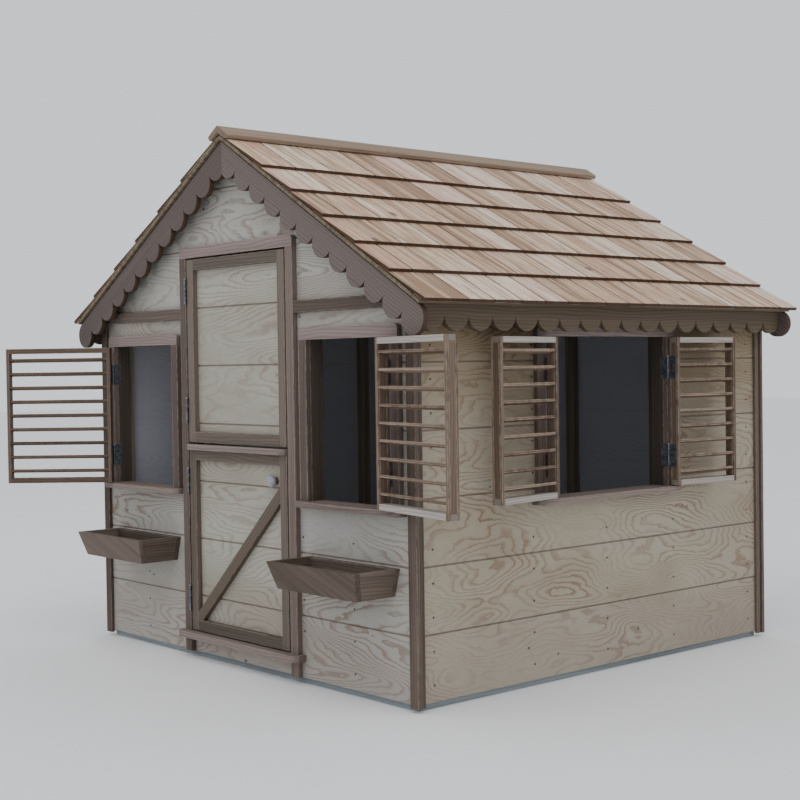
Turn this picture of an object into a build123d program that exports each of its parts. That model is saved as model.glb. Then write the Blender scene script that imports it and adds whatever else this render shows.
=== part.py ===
"""Child's cedar garden playhouse with a half-and-half door, louvred shutters and a shingled roof.

Millimetres. X runs along the front wall, Y runs from the front wall to the back wall and Z is up.
The origin is on the ground, below the middle of the floor. The shutters stand open, as they are
shown off, and both halves of the door are shut.
"""

from build123d import *
import math
import os
import random

# ---------------------------------------------------------------- driving dimensions
# Lumber and sheet
BOARD = 19.0              # thickness of a planed one-inch board
TRIM = 38.0               # width of a one-by-two
FACE_BOARD = 89.0         # width of a one-by-four, at the eaves
BARGE_WIDTH = 97.0        # width of a bargeboard
CORNER_BOARD = 12.0       # thickness of the corner trims
STUD = 38.0               # a two-by-two, both ways
SIDING = 12.0             # grooved plywood siding
DECKING = 12.0            # roof sheathing
FLOOR_SHEET = 15.0

# Walls, measured over the siding
WALL_WIDTH = 1778.0
WALL_DEPTH = 1710.0
WALL_HEIGHT = 1219.0      # height of one siding sheet laid sideways
SIDING_BOTTOM = 20.0      # siding stops this far above the ground
GROOVE_PITCH = 203.2
GROOVE_WIDTH = 5.0
GROOVE_DEPTH = 3.0

# Floor
JOIST_DEPTH = 76.0

# Roof
ROOF_ANGLE = 30.9
RAFTER_SEAT = 32.0        # length of the level notch where a rafter sits on the wall
RAFTER_BAYS = 3
BARGE_RAFTER_DEPTH = 30.0
RIDGE_DEPTH = 64.0
EAVE_OVERHANG = 55.0      # wall to the back of the eave fascia
DECK_PAST_FASCIA = 27.0
DECK_PAST_BARGE = 8.0
BARGE_GAP = 6.0           # shadow gap between the roof sheathing and a bargeboard
FASCIA_GAP = 5.0          # the same at an eave fascia
SCALLOP_DEPTH = 44.0
SCALLOP_PITCH = 97.0
BARGE_END_PAST_WALL = 65.0

# Shingles
COURSES = 6
SHINGLE_BUTT = 11.0       # thickness at the lower edge
SHINGLE_HEAD = 3.0        # thickness at the upper edge
SHINGLE_LAP = 50.0
SHINGLE_GAP = 2.5
SHINGLE_NARROWEST = 95.0
SHINGLE_WIDEST = 205.0
SHINGLE_PAST_DECK = 25.0  # past the eave edge of the sheathing
STARTER_INSET = 12.0      # eave butts to the edge of the starter strip
SHINGLE_PAST_RAKE = 3.0
FIRST_BUTT = 236.0        # level distance from the ridge to the top course's butts
RIDGE_HEAD = 12.0         # top course's heads, along the slope from the ridge
RIGHT_SEED = 11           # these two fix the shingles' random widths
LEFT_SEED = 23
RIDGE_CAP_WIDTH = 48.0
CAP_LIFT = 7.0            # underside of the ridge cap over the sheathing
CAP_PAST_SHINGLES = 6.0
CAP_ROUND = 5.0

# Door
DOOR_OPENING = 590.0
DOOR_ABOVE_WALL = 177.0   # top of the wall sheets to the underside of the door's header
DOOR_GAP = 8.0            # each side of a leaf
DOOR_TOP_GAP = 6.0
THRESHOLD_TOP = 95.0
THRESHOLD_THICKNESS = 22.0
THRESHOLD_OVERHANG = 19.0 # past each side of the door's trims
THRESHOLD_REACH = 30.0    # past the face of the trims
DOOR_BOTTOM_GAP = 5.0
SHELF_TOP = 760.0
SHELF_REACH = 22.0        # past the face of the lower leaf's frame
LEAF_GAP = 6.0            # between the shelf and the upper leaf
KNOB_RADIUS = 21.0
KNOB_LENGTH = 34.0
KNOB_NECK = 9.5           # radius of the narrowest part
KNOB_NECK_LENGTH = 11.0
KNOB_FOOT = 12.0          # radius where it meets the door
KNOB_TIP = 10.5           # radius where the rounded rim meets the flatter front
KNOB_DOME = 1.5
KNOB_INSET = 44.0         # knob's axis to the frame board beside it
KNOB_DROP = 51.0          # knob's axis to the frame board above it
DOOR_HINGE_HEIGHT = 89.0
DOOR_HINGE_INSET = 112.0  # leaf end to the middle of a hinge
DOOR_STOP_GAP = 1.0
DOOR_STOP_WIDTH = 22.0
DOOR_STOP_LIFT = 2.0
BRACE_DROP = 93.0         # lower leaf's top rail to where the middle of the brace meets the stile

# Windows
WINDOW_SIDE_GAP = 27.5    # bare siding between a front window's casing and its neighbours
SIDE_WINDOW_WIDTH = 610.0
WINDOW_HEIGHT = 516.0
SILL_OVERHANG = 51.0      # past each side of the window opening
SILL_REACH = 30.0         # past the face of the casing
CORNER_ROUND = 14.0       # upper corners of the headers
NOSE_ROUND = 0.6          # corner radius of a sill, as a share of how far it stands out

# Corner trims
CORNER_SHADOW_GAP = 4.0   # between the two boards of one corner
SIDE_CORNER_TRIM = 20.0
CORNER_TRIM_BOTTOM = 12.0
CORNER_TRIM_GAP = 2.0     # between the trims and the rafters over them

# Shutters
SHUTTER_DEPTH = 38.0
SHUTTER_STILE = 12.0
SHUTTER_RECESS = 0.5      # outer face of a shut shutter, behind the face of the casing
SHUTTER_GAP = 4.0         # each side, and between a pair
SHUTTER_END_GAP = 3.0     # top and bottom
SHUTTER_FACE_STRIP = 7.0
SLATS = 9
SLAT_WIDTH = 32.0
SLAT_THICKNESS = 8.0
SLAT_TILT = 14.0
SHUTTER_HINGE_HEIGHT = 76.0
SHUTTER_HINGE_SPREAD = 152.0   # middle of the window to each hinge
FRONT_LEFT_OPEN = 134.0
FRONT_RIGHT_OPEN = 169.0
SIDE_FRONT_OPEN = 172.5
SIDE_REAR_OPEN = 175.5

# Hinges
HINGE_STAND_OFF = 5.0     # trim face to the middle of a hinge pin
PLATE = 1.4
PLATE_INSET = 3.0         # trim face to the near edge of a plate
PLATE_MARGIN = 2.0        # far edge of a plate to the back of a door leaf
KNUCKLE_RADIUS = 4.2
PIN_RADIUS = 2.2
PIN_CLEARANCE = 0.05
KNUCKLE_GAP = 0.5         # between knuckles, along the pin
PIN_HEAD = 1.6
KNUCKLES = 5

# Flower boxes
BOX_HEIGHT = 86.0
BOX_DROP = 177.0          # top of the window sill to the rim of the box
BOX_DEPTH_TOP = 177.0     # wall to the outer face of the front board
BOX_SLANT = 26.0          # how much further in the front board is at the bottom
BOX_END_SLANT = 24.0      # the same for an end board
BOX_PAST_WINDOW = 15.0    # rim past each side of the window opening

# Nails
NAIL_HEAD_RADIUS = 3.2
NAIL_HEAD_HEIGHT = 0.8
NAIL_SHANK_RADIUS = 1.4
NAIL_LENGTH = 32.0

# ---------------------------------------------------------------- sizes worked out from those above
HALF_WIDTH = WALL_WIDTH / 2
HALF_DEPTH = WALL_DEPTH / 2
WALL_TOP = SIDING_BOTTOM + WALL_HEIGHT
INNER_HALF_WIDTH = HALF_WIDTH - SIDING      # inside face of the side siding
INNER_HALF_DEPTH = HALF_DEPTH - SIDING
FLOOR_TOP = JOIST_DEPTH + FLOOR_SHEET
PLATE_TOP = FLOOR_TOP + STUD                # top of the bottom wall plates
TRIM_FACE_Y = -HALF_DEPTH - BOARD           # front face of the front wall's trims
TRIM_FACE_X = HALF_WIDTH + BOARD            # outer face of the right wall's trims

SLOPE = math.tan(math.radians(ROOF_ANGLE))
COS_ROOF = math.cos(math.radians(ROOF_ANGLE))
SIN_ROOF = math.sin(math.radians(ROOF_ANGLE))
RAFTER_RISE = STUD / COS_ROOF
DECK_UNDER_APEX = WALL_TOP - RAFTER_SEAT * SLOPE + RAFTER_RISE + HALF_WIDTH * SLOPE
DECK_TOP_APEX = DECK_UNDER_APEX + DECKING / COS_ROOF
FASCIA_BACK_X = HALF_WIDTH + EAVE_OVERHANG
FASCIA_FACE_X = FASCIA_BACK_X + BOARD
FASCIA_TOP = DECK_UNDER_APEX - FASCIA_FACE_X * SLOPE - FASCIA_GAP
DECK_EDGE_X = FASCIA_FACE_X + DECK_PAST_FASCIA
SHINGLE_EDGE_X = DECK_EDGE_X + SHINGLE_PAST_DECK
BARGE_BACK_Y = HALF_DEPTH + STUD
BARGE_FACE_Y = BARGE_BACK_Y + BOARD
DECK_END_Y = BARGE_FACE_Y + DECK_PAST_BARGE
SHINGLE_END_Y = DECK_END_Y + SHINGLE_PAST_RAKE
BARGE_TOP_APEX = DECK_UNDER_APEX - BARGE_GAP / COS_ROOF
BARGE_ROUND = BARGE_WIDTH / 2               # radius of a bargeboard's round end
BARGE_ROUND_X = HALF_WIDTH + BARGE_END_PAST_WALL
BARGE_LOWEST = BARGE_TOP_APEX - BARGE_ROUND_X * SLOPE - BARGE_ROUND / COS_ROOF - BARGE_ROUND

EAVE_ALONG = SHINGLE_EDGE_X / COS_ROOF      # ridge to the eave butts, along the slope
FIRST_ALONG = FIRST_BUTT / COS_ROOF
EXPOSURE = (EAVE_ALONG - FIRST_ALONG) / (COURSES - 1)
SHINGLE_LENGTH = EXPOSURE + SHINGLE_LAP
SHINGLE_SEAT = SHINGLE_HEAD + SHINGLE_BUTT * SHINGLE_LAP / EXPOSURE   # butts over the sheathing

DOOR_HALF = DOOR_OPENING / 2
LEAF_HALF = DOOR_HALF - DOOR_GAP
DOOR_HEAD = WALL_TOP + DOOR_ABOVE_WALL
THRESHOLD_BOTTOM = THRESHOLD_TOP - THRESHOLD_THICKNESS
LOWER_LEAF_BOTTOM = THRESHOLD_TOP + DOOR_BOTTOM_GAP
LOWER_LEAF_TOP = SHELF_TOP - BOARD
UPPER_LEAF_BOTTOM = SHELF_TOP + LEAF_GAP
UPPER_LEAF_TOP = DOOR_HEAD - DOOR_TOP_GAP
DOOR_ROUGH = DOOR_HALF + BOARD              # half the cut in the siding
DOOR_CASING = DOOR_HALF + TRIM
KNOB_X = LEAF_HALF - TRIM - KNOB_INSET
KNOB_Z = LOWER_LEAF_TOP - TRIM - KNOB_DROP

WINDOW_TOP = BARGE_LOWEST                   # so that the shutters pass under the bargeboards
WINDOW_SILL_TOP = WINDOW_TOP - WINDOW_HEIGHT
WINDOW_MIDDLE_Z = WINDOW_SILL_TOP + WINDOW_HEIGHT / 2
SILL_BOTTOM = WINDOW_SILL_TOP - BOARD
ROUGH_TOP = WINDOW_TOP + BOARD
CORNER_TRIM_INNER = TRIM_FACE_X - TRIM
FRONT_WINDOW_X = (DOOR_CASING + CORNER_TRIM_INNER) / 2
WINDOW_WIDTH = CORNER_TRIM_INNER - DOOR_CASING - 2 * (TRIM + WINDOW_SIDE_GAP)   # front windows
FRONT_ROUGH = WINDOW_WIDTH / 2 + BOARD
SIDE_ROUGH = SIDE_WINDOW_WIDTH / 2 + BOARD
WINDOW_STUD_OUTER = FRONT_WINDOW_X + FRONT_ROUGH
WINDOW_STUD_INNER = FRONT_WINDOW_X - FRONT_ROUGH

SHUTTER_HEIGHT = WINDOW_HEIGHT - 2 * SHUTTER_END_GAP
SHUTTER_BOTTOM = WINDOW_SILL_TOP + SHUTTER_END_GAP
FRONT_SHUTTER_WIDTH = WINDOW_WIDTH - 2 * SHUTTER_GAP
SIDE_SHUTTER_WIDTH = SIDE_WINDOW_WIDTH / 2 - 1.5 * SHUTTER_GAP
SHUTTER_HINGE_Z = [WINDOW_MIDDLE_Z - SHUTTER_HINGE_SPREAD, WINDOW_MIDDLE_Z + SHUTTER_HINGE_SPREAD]
PLATE_START = HINGE_STAND_OFF + PLATE_INSET
PLATE_REACH = BOARD + SIDING - PLATE_INSET - PLATE_MARGIN
UPPER_HINGE_Z = [UPPER_LEAF_BOTTOM + DOOR_HINGE_INSET, UPPER_LEAF_TOP - DOOR_HINGE_INSET]
LOWER_HINGE_Z = [LOWER_LEAF_BOTTOM + DOOR_HINGE_INSET, LOWER_LEAF_TOP - DOOR_HINGE_INSET]
DOOR_PIN_X = -DOOR_HALF + DOOR_GAP / 2
DOOR_PIN_Y = TRIM_FACE_Y - HINGE_STAND_OFF

BOX_TOP = WINDOW_SILL_TOP - BOX_DROP
BOX_BOTTOM = BOX_TOP - BOX_HEIGHT
BOX_HALF_TOP = WINDOW_WIDTH / 2 + BOX_PAST_WINDOW
BOX_HALF_BOTTOM = BOX_HALF_TOP - BOX_END_SLANT


# ---------------------------------------------------------------- shape helpers
def block(x, y, z):
    """A board from its two limits along each axis."""
    size = [abs(limits[1] - limits[0]) for limits in (x, y, z)]
    middle = [(limits[0] + limits[1]) / 2 for limits in (x, y, z)]
    return Pos(*middle) * Box(*size)


def front_plate(outline, y_back, thickness):
    """An outline drawn in X and Z, made into a sheet whose back is at y_back."""
    face = Plane(origin=(0, y_back, 0), x_dir=(1, 0, 0), z_dir=(0, -1, 0)) * make_face(outline)
    return extrude(face, thickness)


def side_plate(outline, x_inner, thickness):
    """An outline drawn in Y and Z, made into a sheet that starts at x_inner and runs to +X."""
    face = Plane(origin=(x_inner, 0, 0), x_dir=(0, 1, 0), z_dir=(1, 0, 0)) * make_face(outline)
    return extrude(face, thickness)


def polygon(points):
    return Polyline(*points, close=True)


def deck_under(x):
    """Height of the underside of the roof sheathing at a distance x from the ridge."""
    return DECK_UNDER_APEX - abs(x) * SLOPE


def both_ways(shape, plane):
    """A shape and its mirror image."""
    return [shape, shape.mirror(plane)]


def left_and_right(shape):
    return both_ways(shape, Plane.YZ)


def front_and_back(shape):
    return both_ways(shape, Plane.XZ)


nodes = {}


def keep(name, shapes):
    """Store a node as a group of its separate solids."""
    pieces = []
    for shape in shapes:
        pieces += shape.solids()
    nodes[name] = pieces


# ---------------------------------------------------------------- floor
def make_floor():
    rim_x = INNER_HALF_WIDTH
    rim_y = INNER_HALF_DEPTH
    rim = front_and_back(block((-rim_x, rim_x), (-rim_y, -rim_y + STUD), (0, JOIST_DEPTH)))
    spacing = (rim_x - STUD / 2) / 2
    joists = []
    for step in range(-2, 3):
        x = step * spacing
        joists.append(block((x - STUD / 2, x + STUD / 2), (STUD - rim_y, rim_y - STUD), (0, JOIST_DEPTH)))
    keep("floor_frame", rim + joists)
    keep("floor_deck", [block((-rim_x, rim_x), (-rim_y, rim_y), (JOIST_DEPTH, FLOOR_TOP))])


# ---------------------------------------------------------------- wall frames
def upright(x, y, z):
    """A two-by-two on end between two heights, its left face at x and its front face at y."""
    return block((x, x + STUD), (y, y + STUD), z)


def level_x(x, y, z):
    """A two-by-two along X between two limits, its front face at y and its underside at z."""
    return block(x, (y, y + STUD), (z, z + STUD))


def level_y(x, y, z):
    """A two-by-two along Y between two limits, its left face at x and its underside at z."""
    return block((x, x + STUD), y, (z, z + STUD))


def make_front_wall_frame():
    y = -INNER_HALF_DEPTH
    top = WALL_TOP - STUD
    half = [
        level_x((DOOR_ROUGH, INNER_HALF_WIDTH), y, FLOOR_TOP),
        level_x((DOOR_ROUGH, INNER_HALF_WIDTH), y, top),
        block((DOOR_ROUGH, WINDOW_STUD_INNER), (y, y + STUD), (PLATE_TOP, top)),
        block((WINDOW_STUD_OUTER, INNER_HALF_WIDTH), (y, y + STUD), (PLATE_TOP, top)),
        level_x((WINDOW_STUD_INNER, WINDOW_STUD_OUTER), y, ROUGH_TOP),
        level_x((WINDOW_STUD_INNER, WINDOW_STUD_OUTER), y, SILL_BOTTOM - STUD),
        upright(FRONT_WINDOW_X - STUD / 2, y, (PLATE_TOP, SILL_BOTTOM - STUD)),
        gable_stud(DOOR_ROUGH, y),
    ]
    pieces = []
    for piece in half:
        pieces += left_and_right(piece)
    pieces.append(level_x((-DOOR_ROUGH, DOOR_ROUGH), y, DOOR_HEAD + BOARD))
    keep("front_wall_frame", pieces)


def gable_stud(x, y):
    """A stud from the wall plate up to the slanting underside of the rafters."""
    far = x + STUD
    tops = [deck_under(x) - RAFTER_RISE, deck_under(far) - RAFTER_RISE]
    shape = polygon([(x, WALL_TOP), (far, WALL_TOP), (far, tops[1]), (x, tops[0])])
    return front_plate(shape, y + STUD, STUD)


def make_back_wall_frame():
    y = INNER_HALF_DEPTH - STUD
    top = WALL_TOP - STUD
    corner = INNER_HALF_WIDTH - STUD
    half = [
        upright(corner, y, (PLATE_TOP, top)),
        upright(corner / 2, y, (PLATE_TOP, top)),
        gable_stud(corner / 3, y),
    ]
    pieces = [
        level_x((-INNER_HALF_WIDTH, INNER_HALF_WIDTH), y, FLOOR_TOP),
        level_x((-INNER_HALF_WIDTH, INNER_HALF_WIDTH), y, top),
        upright(-STUD / 2, y, (PLATE_TOP, top)),
    ]
    for piece in half:
        pieces += left_and_right(piece)
    keep("back_wall_frame", pieces)


def side_wall_plates(x):
    reach = INNER_HALF_DEPTH - STUD
    return [
        level_y(x, (-reach, reach), FLOOR_TOP),
        level_y(x, (-reach, reach), WALL_TOP - STUD),
    ]


def make_side_wall_frames():
    top = WALL_TOP - STUD
    reach = INNER_HALF_DEPTH - STUD
    left_x = -INNER_HALF_WIDTH
    left = side_wall_plates(left_x)
    for y in (-reach, -reach / 2 - STUD / 2, -STUD / 2, reach / 2 - STUD / 2, reach - STUD):
        left.append(upright(left_x, y, (PLATE_TOP, top)))
    keep("left_wall_frame", left)

    right_x = INNER_HALF_WIDTH - STUD
    right = side_wall_plates(right_x)
    for y in (-reach, -SIDE_ROUGH - STUD, SIDE_ROUGH, reach - STUD):
        right.append(upright(right_x, y, (PLATE_TOP, top)))
    right.append(level_y(right_x, (-SIDE_ROUGH, SIDE_ROUGH), ROUGH_TOP))
    right.append(level_y(right_x, (-SIDE_ROUGH, SIDE_ROUGH), SILL_BOTTOM - STUD))
    right.append(upright(right_x, -STUD / 2, (PLATE_TOP, SILL_BOTTOM - STUD)))
    keep("right_wall_frame", right)


# ---------------------------------------------------------------- siding
def groove_heights(low, high):
    """Heights of the siding's level grooves between two limits."""
    count = int((high - SIDING_BOTTOM) / GROOVE_PITCH) + 1
    heights = [SIDING_BOTTOM + step * GROOVE_PITCH for step in range(count + 1)]
    return [z for z in heights if low + GROOVE_WIDTH < z < high - GROOVE_WIDTH]


def groove_front(sheet, low, high):
    """Cut level grooves into the outer face of a front-wall sheet."""
    for z in groove_heights(low, high):
        sheet -= block((-HALF_WIDTH, HALF_WIDTH), (-HALF_DEPTH, -HALF_DEPTH + GROOVE_DEPTH),
                       (z - GROOVE_WIDTH / 2, z + GROOVE_WIDTH / 2))
    return sheet


def groove_side(sheet, low, high):
    """Cut level grooves into the outer face of a right-wall sheet."""
    for z in groove_heights(low, high):
        sheet -= block((HALF_WIDTH - GROOVE_DEPTH, HALF_WIDTH), (-HALF_DEPTH, HALF_DEPTH),
                       (z - GROOVE_WIDTH / 2, z + GROOVE_WIDTH / 2))
    return sheet


def gable_sheet(door_cut):
    """The three-cornered sheet above a front or back wall sheet, in front-wall position."""
    edge = deck_under(HALF_WIDTH)
    points = [(-HALF_WIDTH, WALL_TOP), (HALF_WIDTH, WALL_TOP), (HALF_WIDTH, edge),
              (0, DECK_UNDER_APEX), (-HALF_WIDTH, edge)]
    sheet = front_plate(polygon(points), -INNER_HALF_DEPTH, SIDING)
    if door_cut:
        sheet -= block((-DOOR_ROUGH, DOOR_ROUGH), (-HALF_DEPTH, -INNER_HALF_DEPTH),
                       (WALL_TOP, DOOR_HEAD + BOARD))
    return groove_front(sheet, WALL_TOP, DECK_UNDER_APEX)


def make_siding():
    y = (-HALF_DEPTH, -INNER_HALF_DEPTH)
    half = block((DOOR_ROUGH, HALF_WIDTH), y, (SIDING_BOTTOM, WALL_TOP))
    half -= block((WINDOW_STUD_INNER, WINDOW_STUD_OUTER), y, (SILL_BOTTOM, ROUGH_TOP))
    half = groove_front(half, SIDING_BOTTOM, WALL_TOP)
    keep("front_siding", left_and_right(half))
    keep("threshold_apron", [block((-DOOR_ROUGH, DOOR_ROUGH), y, (SIDING_BOTTOM, THRESHOLD_BOTTOM))])
    keep("front_gable_siding", [gable_sheet(True)])
    keep("back_gable_siding", [gable_sheet(False).mirror(Plane.XZ)])

    back = block((-HALF_WIDTH, HALF_WIDTH), y, (SIDING_BOTTOM, WALL_TOP))
    keep("back_siding", [groove_front(back, SIDING_BOTTOM, WALL_TOP).mirror(Plane.XZ)])

    side = block((INNER_HALF_WIDTH, HALF_WIDTH), (-INNER_HALF_DEPTH, INNER_HALF_DEPTH),
                 (SIDING_BOTTOM, WALL_TOP))
    side = groove_side(side, SIDING_BOTTOM, WALL_TOP)
    keep("left_siding", [side.mirror(Plane.YZ)])
    window = block((INNER_HALF_WIDTH, HALF_WIDTH), (-SIDE_ROUGH, SIDE_ROUGH), (SILL_BOTTOM, ROUGH_TOP))
    keep("right_siding", [side - window])


# ---------------------------------------------------------------- outside trims
def make_corner_trims():
    eave = deck_under(TRIM_FACE_X) - CORNER_TRIM_GAP
    front_z = (CORNER_TRIM_BOTTOM, eave - BARGE_RAFTER_DEPTH / COS_ROOF)
    side_z = (CORNER_TRIM_BOTTOM, eave - RAFTER_RISE)
    front = block((CORNER_TRIM_INNER, TRIM_FACE_X), (-HALF_DEPTH - CORNER_BOARD, -HALF_DEPTH), front_z)
    side_front = -HALF_DEPTH + CORNER_SHADOW_GAP
    side_y = (side_front, side_front + SIDE_CORNER_TRIM)
    side = block((HALF_WIDTH, HALF_WIDTH + CORNER_BOARD), side_y, side_z)
    front_pair = left_and_right(front)
    side_pair = left_and_right(side)
    pieces = []
    for piece in front_pair + side_pair:
        pieces += front_and_back(piece)
    keep("corner_trims", pieces)


def make_belly_bands():
    z = (WALL_TOP - TRIM, WALL_TOP)
    front = block((DOOR_CASING, CORNER_TRIM_INNER), (TRIM_FACE_Y, -HALF_DEPTH), z)
    back = block((-CORNER_TRIM_INNER, CORNER_TRIM_INNER), (HALF_DEPTH, -TRIM_FACE_Y), z)
    keep("belly_bands", left_and_right(front) + [back])


def rounded_header(half_length, z_low):
    """A header board in X and Z with its two upper corners rounded."""
    board = front_plate(polygon([(-half_length, z_low), (half_length, z_low),
                                 (half_length, z_low + TRIM), (-half_length, z_low + TRIM)]), 0, BOARD)
    corners = board.edges().filter_by(Axis.Y).group_by(Axis.Z)[-1]
    return fillet(corners, CORNER_ROUND)


def nosed_board(half_length, reach, z_low, thickness):
    """A sill or threshold board from the wall face, y = 0, out to -reach, its front corners rounded."""
    board = block((-half_length, half_length), (-reach, 0), (z_low, z_low + thickness))
    corners = board.edges().filter_by(Axis.Z).group_by(Axis.Y)[0]
    return fillet(corners, reach * NOSE_ROUND)


# ---------------------------------------------------------------- door surround
def make_door_surround():
    x = (DOOR_HALF, DOOR_CASING)
    y = (TRIM_FACE_Y, -HALF_DEPTH)
    trim = block(x, y, (THRESHOLD_TOP, DOOR_HEAD))
    lower_trim = block(x, y, (SIDING_BOTTOM, THRESHOLD_BOTTOM))
    header = Pos(0, -HALF_DEPTH, 0) * rounded_header(DOOR_CASING, DOOR_HEAD)
    keep("door_casing", left_and_right(trim) + left_and_right(lower_trim) + [header])

    half_length = DOOR_CASING + THRESHOLD_OVERHANG
    nose = nosed_board(half_length, BOARD + THRESHOLD_REACH, THRESHOLD_BOTTOM, THRESHOLD_THICKNESS)
    z = (THRESHOLD_BOTTOM, THRESHOLD_TOP)
    inner = block((-DOOR_ROUGH, DOOR_ROUGH), (-HALF_DEPTH, -INNER_HALF_DEPTH), z)
    keep("door_threshold", [Pos(0, -HALF_DEPTH, 0) * nose + inner])

    back = -INNER_HALF_DEPTH + STUD
    foot = THRESHOLD_TOP
    jamb = block((DOOR_HALF, DOOR_ROUGH), (-HALF_DEPTH, back), (foot, DOOR_HEAD))
    head = block((-DOOR_ROUGH, DOOR_ROUGH), (-HALF_DEPTH, back), (DOOR_HEAD, DOOR_HEAD + BOARD))
    keep("door_jambs", left_and_right(jamb) + [head])

    stop_front = -INNER_HALF_DEPTH + DOOR_STOP_GAP
    stop = block((DOOR_HALF - DOOR_STOP_WIDTH, DOOR_HALF), (stop_front, stop_front + BOARD),
                 (foot + DOOR_STOP_LIFT, DOOR_HEAD - DOOR_STOP_WIDTH))
    top = block((-DOOR_HALF, DOOR_HALF), (stop_front, stop_front + BOARD),
                (DOOR_HEAD - DOOR_STOP_WIDTH, DOOR_HEAD))
    keep("door_stops", left_and_right(stop) + [top])


# ---------------------------------------------------------------- window surrounds
def window_boards(width):
    """Liner, casing and sill boards of one window, in front-wall position about x = 0."""
    half = width / 2
    rough = half + BOARD
    back = -INNER_HALF_DEPTH + STUD
    jamb = block((half, rough), (-HALF_DEPTH, back), (WINDOW_SILL_TOP, WINDOW_TOP))
    head = block((-rough, rough), (-HALF_DEPTH, back), (WINDOW_TOP, ROUGH_TOP))
    trim = block((half, half + TRIM), (TRIM_FACE_Y, -HALF_DEPTH), (WINDOW_SILL_TOP, WINDOW_TOP))
    header = Pos(0, -HALF_DEPTH, 0) * rounded_header(half + TRIM, WINDOW_TOP)
    nose = nosed_board(half + SILL_OVERHANG, BOARD + SILL_REACH, SILL_BOTTOM, BOARD)
    inner = block((-rough, rough), (-HALF_DEPTH, back), (SILL_BOTTOM, WINDOW_SILL_TOP))
    sill = Pos(0, -HALF_DEPTH, 0) * nose + inner
    return left_and_right(jamb) + [head], left_and_right(trim) + [header], [sill]


def to_right_wall(shapes):
    """Move shapes from the front wall, about x = 0, to the same place on the right wall."""
    place = Pos(HALF_WIDTH, 0, 0) * Rot(0, 0, 90) * Pos(0, HALF_DEPTH, 0)
    return [place * shape for shape in shapes]


def make_windows():
    jambs, casings, sills = [], [], []
    for x in (-FRONT_WINDOW_X, FRONT_WINDOW_X):
        for store, boards in zip((jambs, casings, sills), window_boards(WINDOW_WIDTH)):
            store += [Pos(x, 0, 0) * board for board in boards]
    for store, boards in zip((jambs, casings, sills), window_boards(SIDE_WINDOW_WIDTH)):
        store += to_right_wall(boards)
    keep("window_jambs", jambs)
    keep("window_casings", casings)
    keep("window_sills", sills)


# ---------------------------------------------------------------- roof frame
def rafter_points(depth_rise, tail_x, start_x):
    """One rafter in X and Z, from the ridge out to tail_x, with square-cut ends."""
    return [(start_x, deck_under(start_x)), (tail_x, deck_under(tail_x)),
            (tail_x, deck_under(tail_x) - depth_rise), (start_x, deck_under(start_x) - depth_rise)]


def make_roof_frame():
    reach = INNER_HALF_DEPTH
    ridge = block((-BOARD / 2, BOARD / 2), (-reach, reach),
                  (deck_under(BOARD / 2) - RIDGE_DEPTH, deck_under(BOARD / 2)))
    keep("ridge_board", [ridge])

    rafter = front_plate(polygon(rafter_points(RAFTER_RISE, FASCIA_BACK_X, BOARD / 2)), 0, STUD)
    notch = block((0, HALF_WIDTH), (-STUD, 0), (0, WALL_TOP))
    rafter -= notch
    pieces = []
    spacing = (2 * reach - STUD) / RAFTER_BAYS
    for bay in range(RAFTER_BAYS + 1):
        back = -reach + STUD + bay * spacing
        pieces += left_and_right(Pos(0, back, 0) * rafter)

    rise = BARGE_RAFTER_DEPTH / COS_ROOF
    barge = front_plate(polygon(rafter_points(rise, FASCIA_BACK_X, 0)), -HALF_DEPTH, STUD)
    for piece in left_and_right(barge):
        pieces += front_and_back(piece)
    keep("rafters", pieces)


def make_roof_deck():
    sheet = polygon([(0, DECK_UNDER_APEX), (0, DECK_TOP_APEX),
                     (DECK_EDGE_X, DECK_TOP_APEX - DECK_EDGE_X * SLOPE),
                     (DECK_EDGE_X, deck_under(DECK_EDGE_X))])
    right = front_plate(sheet, DECK_END_Y, 2 * DECK_END_Y)
    keep("roof_deck_right", [right])
    keep("roof_deck_left", [right.mirror(Plane.YZ)])


# ---------------------------------------------------------------- scalloped boards
def lobe_drop(offset, pitch):
    """How far a lobe hangs below its cusps, at a distance from its middle."""
    radius = ((pitch / 2) ** 2 + SCALLOP_DEPTH ** 2) / (2 * SCALLOP_DEPTH)
    return math.sqrt(radius ** 2 - offset ** 2) - (radius - SCALLOP_DEPTH)


def lobe_edges(cusps, height):
    """The arcs of a row of lobes between cusps at one height, listed from far to near."""
    arcs = []
    for far, near in zip(cusps, cusps[1:]):
        lowest = ((far + near) / 2, height - SCALLOP_DEPTH)
        arcs.append(ThreePointArc((far, height), lowest, (near, height)))
    return arcs


def barge_outline(centre):
    """A bargeboard laid flat, its top edge along X, with a round end centred at a distance centre."""
    height = SCALLOP_DEPTH - BARGE_WIDTH
    cusps = [centre - SCALLOP_PITCH / 2]
    while cusps[-1] > -SCALLOP_PITCH:
        cusps.append(cusps[-1] - SCALLOP_PITCH)
    quarter = SCALLOP_PITCH / 4
    last_lobe = (centre - quarter, height - lobe_drop(quarter, SCALLOP_PITCH))
    edges = [
        Line((cusps[-1], 0), (centre, 0)),
        ThreePointArc((centre, 0), (centre + BARGE_ROUND, -BARGE_ROUND), (centre, -BARGE_WIDTH)),
        ThreePointArc((centre, -BARGE_WIDTH), last_lobe, (cusps[0], height)),
    ]
    return Wire(edges + lobe_edges(cusps, height) + [Line((cusps[-1], height), (cusps[-1], 0))])


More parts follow.
